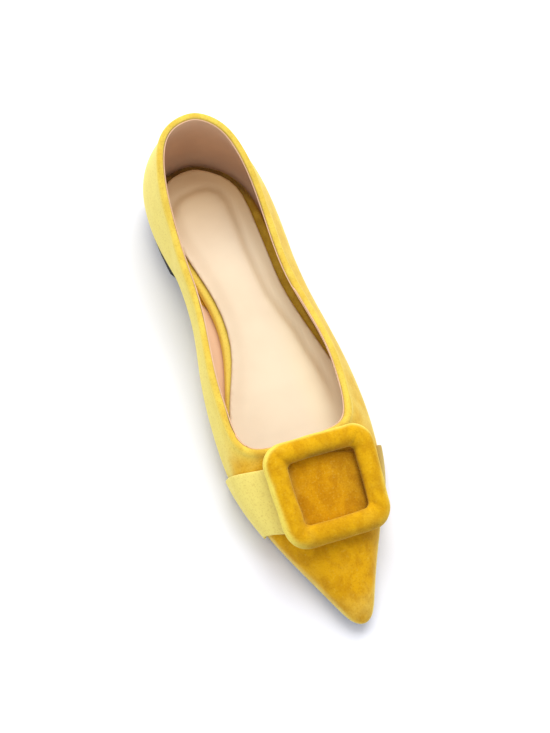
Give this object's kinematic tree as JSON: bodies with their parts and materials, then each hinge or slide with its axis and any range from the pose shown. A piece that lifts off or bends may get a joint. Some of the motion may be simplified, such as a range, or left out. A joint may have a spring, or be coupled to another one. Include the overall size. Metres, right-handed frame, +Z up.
{
  "type": "pointed toe flat",
  "caption": "Low pointed toe flat in golden velvet, with a strap over the vamp and a padded square buckle, for the left foot.",
  "frame": {"origin": "on the floor, under the middle of the heel seat", "axes": "+Y towards the back of the heel, -Y towards the toe, +X towards the outer side of the left foot, +Z up"},
  "size_m": [0.0813, 0.2649, 0.0709],
  "materials": {
    "sole_rubber": "matt black moulded rubber",
    "heel_rubber": "matt black moulded rubber",
    "upper_velvet": "golden velvet over a lining",
    "footbed_velvet": "golden velvet over padding",
    "sock_leather": "smooth beige leather",
    "strap_velvet": "golden velvet",
    "buckle_velvet": "golden velvet over a padded frame"
  },
  "bodies": {
    "root": {"outsole": "sole_rubber", "heel": "heel_rubber", "upper": "upper_velvet", "footbed": "footbed_velvet", "sock": "sock_leather", "strap": "strap_velvet", "buckle": "buckle_velvet"}
  },
  "joints": []
}
